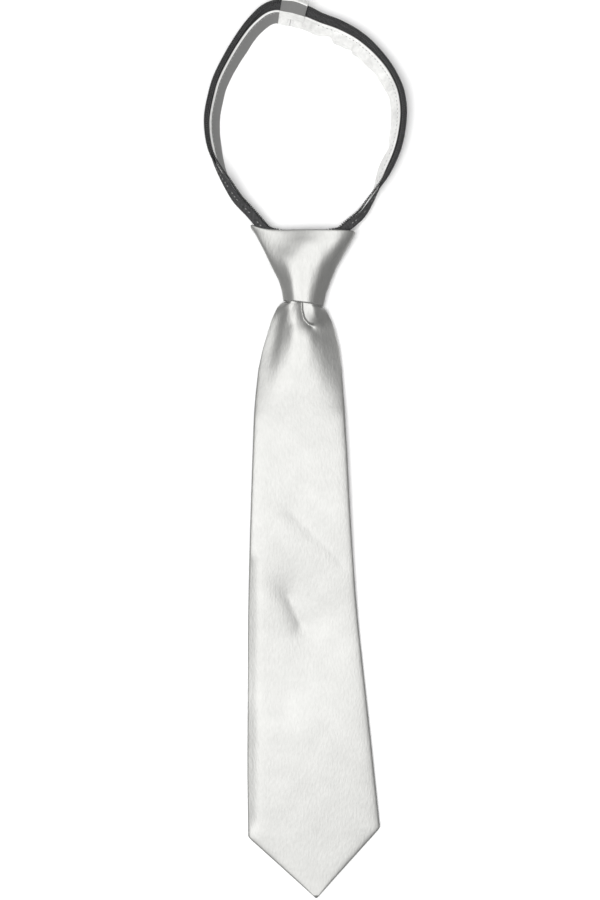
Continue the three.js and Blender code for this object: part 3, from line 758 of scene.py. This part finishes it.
class TIE_OT_zipper(bpy.types.Operator):
    """Makes the two woven tapes and their rows of wound teeth"""

    bl_idname = "tie.zipper"
    bl_label = "Zipper"

    def execute(self, context):
        sizes = context.scene.tie_sizes
        for side, route in ROUTES.items():
            self.make_tape(context, side, route)
            self.make_teeth(context, side, route, sizes)
        return {"FINISHED"}

    def make_tape(self, context, side, route):
        start, end = STRAP_START, route.last
        length = route.length(start, end)
        hem = TAPE_RISE + TAPE_OVERLAP
        radius = 0.9
        rounding = 0.35

        def place(u, v):
            edge, bend, up, out, flap_up, flap_out, along = route.at(mix(start, end, v))
            # across runs from the hem, over the bend, to the edge with the teeth, and back underneath
            face = 1 if u < 0.5 else -1
            across = 2 * u if u < 0.5 else 2 - 2 * u
            walked = across * (hem + EXPOSED) - hem
            low, high = bend - up * radius, bend + flap_up * radius
            if walked < -radius:
                spot, way = bend + up * walked, up
            elif walked > radius:
                spot, way = bend + flap_up * walked, flap_up
            else:
                share = (walked + radius) / (2 * radius)
                spot = low * (1 - share) ** 2 + bend * (2 * share * (1 - share)) + high * share ** 2
                way = ((bend - low) * (1 - share) + (high - bend) * share).normalized()
            normal = way.cross(along).normalized() * route.side
            normal = normal if normal.dot(out + flap_out) >= 0 else -normal
            near_end = min(across, 1 - across) * (hem + EXPOSED)
            half = TAPE_THICK / 2 * min(1.0, math.sqrt(near_end / rounding)) * face
            return spot + normal * half

        tape = cloth_tube("tape_" + side, 44, int(length / 0.9), place, (2 * TAPE_WIDTH, length))
        finish_piece(tape, [material_named(context, "Woven polyester tape")], "zipper_tape",
                     "zipper_tape_" + side)

    def make_teeth(self, context, side, route, sizes):
        filament = sizes.filament / MM / 2
        reach = EXPOSED + COIL_OVERHANG - COIL_WIDTH / 2
        inwards = TAPE_THICK / 2 + COIL_GAP + COIL_THICK / 2
        steps = 10
        rows = route.rows_at_steps(STRAP_START + 0.03, route.last - 2.0, sizes.tooth_pitch / MM)
        turns = len(rows) - 1

        def section(wound):
            index = min(int(wound), turns - 1)
            return route.at(mix(rows[index], rows[index + 1], wound - index))

        def middle(wound):
            edge, bend, up, out, flap_up, flap_out, along = section(wound)
            turn = 2 * math.pi * wound * route.side
            return (bend + flap_up * (reach + math.cos(turn) * (COIL_WIDTH / 2 - filament))
                    + flap_out * (math.sin(turn) * (COIL_THICK / 2 - filament) - inwards))

        def place(u, v):
            wound = v * turns
            spot = middle(wound)
            way = (middle(min(wound + 0.05, turns)) - middle(max(wound - 0.05, 0))).normalized()
            side_way = way.cross(section(wound)[-1]).normalized()
            other = way.cross(side_way)
            turn = 2 * math.pi * u
            return spot + (side_way * math.cos(turn) + other * math.sin(turn)) * filament

        teeth = cloth_tube("teeth_" + side, 5, turns * steps, place, (4 * filament, turns * 5.0))
        finish_piece(teeth, [material_named(context, "Wound nylon filament")], "zipper_teeth",
                     "zipper_coil_" + side)


class TIE_OT_stitches(bpy.types.Operator):
    """Sews the tape to the strap: a row of stitches on each face, and a loose one on the tape"""

    bl_idname = "tie.stitches"
    bl_label = "Stitches"

    def execute(self, context):
        sizes = context.scene.tie_sizes
        half = sizes.stitch / 2
        for side, route in ROUTES.items():
            mesh = bpy.data.meshes.new("stitches_" + side)
            sewn = bmesh.new()
            end = route.mouth + SATIN_INTO_KNOT
            for row in route.rows_at_steps(JOIN_TO + 0.2, end, sizes.stitch_gap / MM):
                edge, bend, up, out, flap_up, flap_out, along = route.at(row)
                inside = edge - up * STITCH_INNER_DOWN - out * (SATIN_THICK - 0.02)
                outside = bend - up * (TAPE_RISE + STITCH_OUTER_DOWN) + out * (TAPE_THICK / 2)
                middle = bend + flap_up * (STITCH_LOOSE_ACROSS * EXPOSED) + flap_out * (TAPE_THICK / 2)
                for spot, normal in ((inside, -out), (outside, out), (middle, flap_out)):
                    if spot == middle and noise.noise(bend) < 0:
                        continue  # this row is sewn loosely: half of its stitches sink into the weave
                    across = normal.cross(along).normalized()
                    turn = Matrix((along, across, normal)).transposed().to_4x4()
                    shape = Matrix.Diagonal((half, STITCH_HALF_WIDTH * MM, STITCH_HALF_HEIGHT * MM, 1))
                    bmesh.ops.create_uvsphere(
                        sewn, u_segments=6, v_segments=5, radius=1,
                        matrix=Matrix.Translation(in_frame(spot)) @ turn @ shape)
            for face in sewn.faces:
                face.smooth = True
            bmesh.ops.recalc_face_normals(sewn, faces=sewn.faces)
            sewn.to_mesh(mesh)
            sewn.free()
            stitches = bpy.data.objects.new("stitches_" + side, mesh)
            context.scene.collection.objects.link(stitches)
            finish_piece(stitches, [material_named(context, "Spun polyester thread")], "band_satin")
        return {"FINISHED"}


class TIE_OT_join(bpy.types.Operator):
    """Folds the satin sleeve over the two strap ends at the back of the neck"""

    bl_idname = "tie.join"
    bl_label = "Back join"

    def execute(self, context):
        route = JOIN_ROUTE
        length = route.length(JOIN_FROM, JOIN_TO)
        wall = JOIN_WALL
        hem = 0.05
        cut = 0.3

        def profile(row, inset):
            """Corners of the binding from its outer hem, up, over the zipper and down to its inner hem."""
            edge, bend, up, out, flap_up, flap_out, along = route.at(row)
            satin_in = SATIN_THICK + CLEARANCE + wall - inset
            satin_out = TAPE_THICK + 2 * CLEARANCE + wall - inset
            flap_in = TAPE_THICK / 2 + CLEARANCE + COIL_GAP + COIL_THICK + wall - inset
            flap_over = TAPE_THICK / 2 + CLEARANCE + wall - inset
            top = bend + flap_up * (EXPOSED + COIL_OVERHANG + CLEARANCE + wall - inset)
            halfway = (out + flap_out).normalized()
            return [
                edge - up * JOIN_REACH + out * satin_out, edge - up * (JOIN_REACH / 2) + out * satin_out,
                bend + halfway * flap_over, top + flap_out * flap_over, top - flap_out * flap_in,
                bend - halfway * flap_in, edge - up * (JOIN_REACH / 2) - out * satin_in,
                edge - up * JOIN_REACH - out * satin_in]

        def rounded(corners, share):
            """A place on the line through the corners, with each corner rounded by cutting it off."""
            place = share * (len(corners) - 1)
            index = min(int(place + 0.5), len(corners) - 1)
            away = place - index
            if index in (0, len(corners) - 1) or abs(away) >= cut:
                low = min(int(place), len(corners) - 2)
                return corners[low].lerp(corners[low + 1], place - low)
            before = corners[index].lerp(corners[index - 1], cut)
            after = corners[index].lerp(corners[index + 1], cut)
            turn = (away + cut) / (2 * cut)
            return before * (1 - turn) ** 2 + corners[index] * (2 * turn * (1 - turn)) + after * turn ** 2

        def round_wall(u):
            """Once round the wall's section: the outer face, the hem, the inner face and the hem."""
            walked = (u % 1.0) * (2 + 2 * hem)
            if walked <= 1:
                return 0.0, walked
            if walked <= 1 + hem:
                return (walked - 1) / hem, 1.0
            if walked <= 2 + hem:
                return 1.0, 2 + hem - walked
            return 1 - (walked - 2 - hem) / hem, 0.0

        def place(u, v):
            inset, share = round_wall(u)
            return rounded(profile(mix(JOIN_FROM, JOIN_TO, v), inset * wall), share)

        def zone(u, v):
            # beside the zipper the sleeve shows a strip of the grey satin as painted shade on the face
            # turned from the light
            inset, share = round_wall(u)
            return 1 if inset < 0.5 and 0.59 < share < 0.72 else 0

        join = cloth_tube("join_cloth", 126, 48, place, (30, length), zone=zone)
        finish_piece(join, [material_named(context, "Strap satin"),
                            material_named(context, "Satin in painted shade")], "satin", "back_join")
        return {"FINISHED"}


class TIE_OT_knot(bpy.types.Operator):
    """Shapes the knot: a hollow sleeve of padded satin, wide at its mouth, with a rolled rim"""

    bl_idname = "tie.knot"
    bl_label = "Knot"

    def execute(self, context):
        height = KNOT_HEIGHT
        wall = KNOT_WALL
        roll = wall / 2
        flat, bent = 44, 7
        turns = [math.pi * i / bent for i in range(1, bent)]
        # down the outer face, across the lower hem, up the inner face and over the rolled rim
        path = [(height * i / flat, 0.0) for i in range(flat + 1)]
        path += [(height, roll * (1 - math.cos(turn))) for turn in turns]
        path += [(height * (1 - i / flat), wall) for i in range(flat + 1)]
        path += [(-roll * math.sin(turn) * 0.6, wall - roll * (1 - math.cos(turn))) for turn in turns]

        def place(u, v):
            down, inset = path[int(round(v * len(path))) % len(path)]
            turn = 2 * math.pi * u
            across, front = math.cos(turn), math.sin(turn)
            share = min(1.0, max(0.0, down / height))
            half = mix(KNOT_BOTTOM_WIDTH, KNOT_TOP_WIDTH, column(KNOT_ROWS, share, 1)) / 2 - inset
            thick = mix(KNOT_THICK, KNOT_BOTTOM_THICK, share)
            if front > 0:
                across = math.sin(math.pi / 2 - turn)
                edge = (1 - abs(across) ** KNOT_SQUARE) ** (1 / KNOT_SQUARE)
                high = edge * (relief(KNOT_FRONT, share, across) * thick / 2 - inset)
            else:
                across = signed_power(across, KNOT_BACK_ROUND)
                high = signed_power(front, KNOT_BACK_ROUND) * (thick / 2 - inset)
            x = across * half + column(KNOT_ROWS, share, 2) * KNOT_TOP_WIDTH
            corner = (KNOT_CORNER_LEFT if across < 0 else KNOT_CORNER_RIGHT) * abs(across) ** 4
            rim = (corner - KNOT_BACK_DROP * (1 - front) / 2) * (1 - share) ** 3
            y = rim - down - KNOT_SLANT * across * share ** 3
            return Vector((x, y, thick / 2 + high))

        knot = cloth_tube("knot_cloth", 112, len(path), place, loop=True)
        finish_piece(knot, [material_named(context, "Bias-cut polyester satin")], "satin", "knot")
        return {"FINISHED"}


class TIE_OT_blade(bpy.types.Operator):
    """Shapes the blade: satin folded round its lining, gathered at the knot, pointed at the end"""

    bl_idname = "tie.blade"
    bl_label = "Blade"

    def execute(self, context):
        neck_base = COIL_IN_KNOT + COIL_TO_TAPE + TAPE_THICK + CLEARANCE
        neck_thick = KNOT_BOTTOM_THICK - KNOT_WALL - CLEARANCE - neck_base
        neck_width = KNOT_BOTTOM_WIDTH - 2 * KNOT_WALL - 2 * CLEARANCE
        wide_curve = [Vector((row[0], row[1], 0)) for row in BLADE_ROWS]
        shift_curve = [Vector((row[0], row[2], 0)) for row in BLADE_ROWS]
        downs = [row[0] for row in BLADE_ROWS]
        known = {}

        def base(y, ramp):
            """Height of the blade's back over the tail and the tab; ramp is the length of the step."""
            over_tail = tape_level(max(y, TAB_TOP + TAB_LENGTH / 2)) + TAPE_THICK + CLEARANCE
            over_tab = ease(-y, -TAB_TOP - 1 - ramp, -TAB_TOP - 1)
            lifted = mix(over_tail, TAB_THICK + CLEARANCE, over_tab)
            return lifted * (1 - ease(-y, -TAIL_END + 1, -TAIL_END + 1 + BLADE_RAMP))

        def station(down):
            """Width, shift, thickness and slant of the blade at one share of its length."""
            if down in known:
                return known[down]
            if down > downs[-1]:
                share = (down - downs[-1]) / (1 - downs[-1])
                found = (mix(BLADE_WIDTH, TIP_WIDTH, share), mix(BLADE_ROWS[-1][2], TIP_SHIFT, share),
                         BLADE_THICK, CORNER_SLANT * (1 - share))
            else:
                index = max(i for i in range(len(downs) - 1) if downs[i] <= down + 1e-9)
                row = index + (down - downs[index]) / (downs[index + 1] - downs[index])
                wide = curve_point(wide_curve, row).y
                found = (mix(neck_width, BLADE_WIDTH, wide), curve_point(shift_curve, row).y,
                         mix(BLADE_THICK, neck_thick, column(BLADE_ROWS, down, 3)),
                         CORNER_SLANT * ease(down, 0.7, downs[-1]))
            known[down] = found
            return found

        def place(u, v):
            # the steps are finer near the knot
            down = mix(downs[0], 1.0, v ** 1.6)
            width, shift, thick, slant = station(down)
            # the front from left to right, then the back from right to left
            front = u <= 0.5
            share = u * 2 if front else 2 - u * 2
            across = math.sin((share - 0.5) * math.pi)
            x = shift * BLADE_WIDTH + across * width / 2
            neck_slant = KNOT_SLANT * (1 - ease(down, 0, SLANT_FADE))
            y = TAIL_START - down * BLADE_LENGTH - slant * (1 - across) / 2 - neck_slant * across
            # a hair less than the rounded section, so that front and back meet exactly at the edges
            crown = max(0.0, 1 - abs(across) ** BLADE_SQUARE - 1e-9) ** (1 / BLADE_SQUARE)
            if front:
                below = down * BLADE_LENGTH
                neck = relief(NECK_FRONT, math.sqrt(max(0.0, below - NECK_START) / NECK_REACH), across)
                fold = fold_height(BLADE_FOLDS, x, TAIL_START - y)
                soft = 0.35 * noise.noise(Vector((x / 45, y / 60, 1.3))) * ease(down, 0.05, 0.2)
                puff = mix(neck, thick, ease(below, NECK_REACH - 10, NECK_REACH))
                high = mix(EDGE_RISE, puff + fold + soft, crown)
            else:
                # the two folded edges of the satin meet down the middle of the back
                seam = math.exp(-((x - shift * BLADE_WIDTH) / SEAM_WIDTH) ** 2) * ease(down, 0.02, 0.05)
                high = EDGE_RISE * (1 - crown) + SEAM_HEIGHT * seam * (1 if down < SEAM_END else 0)
            # the padding evens out the step over the tab, so the front rises more gently than the back,
            # and they meet at both edges
            level = mix(base(y, TAB_RAMP), base(y, 5 * TAB_RAMP), crown if front else 0)
            return Vector((x, y, level + high))

        blade = cloth_tube("blade_cloth", 220, 300, place)
        finish_piece(blade, [material_named(context, "Bias-cut polyester satin")], "satin", "blade")
        return {"FINISHED"}


class TIE_OT_tail(bpy.types.Operator):
    """Binds the end of the zipper in a satin tab and paints the slider"""

    bl_idname = "tie.tail"
    bl_label = "Tail and slider"

    def execute(self, context):
        half = CLOSED_REACH + TAPE_OVERLAP + CLEARANCE + TAB_WALL
        # from the closed end up the inner face, over the open top and down the outer face
        path = [((TAB_LENGTH - TAB_WALL) * (1 - i / 10), TAB_WALL) for i in range(11)]
        path += [(0.0, TAB_WALL * (1 - i / 5)) for i in range(1, 6)]
        path += [(TAB_LENGTH * i / 14, 0.0) for i in range(1, 14)]
        path += [(TAB_LENGTH - 0.2, 0.0), (TAB_LENGTH, 0.4)]

        def place(u, v):
            down, inset = path[int(round(v * (len(path) - 1)))]
            turn = 2 * math.pi * u
            x = signed_power(math.cos(turn), TAB_ROUND) * (half - inset)
            z = TAB_THICK / 2 + signed_power(math.sin(turn), TAB_ROUND) * (TAB_THICK / 2 - inset)
            return Vector((x, TAB_TOP - down, z))

        tab = cloth_tube("tab_cloth", 56, len(path) - 1, place, (44, 24))
        finish_piece(tab, [material_named(context, "Strap satin")], "band_satin", "tail_tab")
        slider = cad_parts["zip_slider"]
        slider.data.materials.clear()
        slider.data.materials.append(material_named(context, "Painted zinc casting"))
        return {"FINISHED"}


class TIE_PT_panel(bpy.types.Panel):
    """Sizes, colours and pieces of the tie"""

    bl_idname = "TIE_PT_panel"
    bl_label = "Zipper tie"
    bl_space_type = "VIEW_3D"
    bl_region_type = "UI"
    bl_category = "Tie"

    def draw(self, context):
        for group in (context.scene.tie_sizes, context.scene.tie_colours):
            for name in group.__annotations__:
                self.layout.prop(group, name)
        for operator in OPERATORS:
            self.layout.operator(operator.bl_idname)


OPERATORS = (TIE_OT_stage, TIE_OT_straps, TIE_OT_zipper, TIE_OT_stitches, TIE_OT_join, TIE_OT_knot,
             TIE_OT_blade, TIE_OT_tail)
CLASSES = (TieSizes, TieColours, *OPERATORS, TIE_PT_panel)


def register():
    for each in CLASSES:
        bpy.utils.register_class(each)
    bpy.types.Scene.tie_sizes = bpy.props.PointerProperty(type=TieSizes)
    bpy.types.Scene.tie_colours = bpy.props.PointerProperty(type=TieColours)


def unregister():
    del bpy.types.Scene.tie_sizes
    del bpy.types.Scene.tie_colours
    for each in reversed(CLASSES):
        bpy.utils.unregister_class(each)


def main():
    register()
    bpy.ops.tie.stage()
    bpy.ops.tie.straps()
    bpy.ops.tie.zipper()
    bpy.ops.tie.stitches()
    bpy.ops.tie.join()
    bpy.ops.tie.knot()
    bpy.ops.tie.blade()
    bpy.ops.tie.tail()


if __name__ == "__main__":
    main()
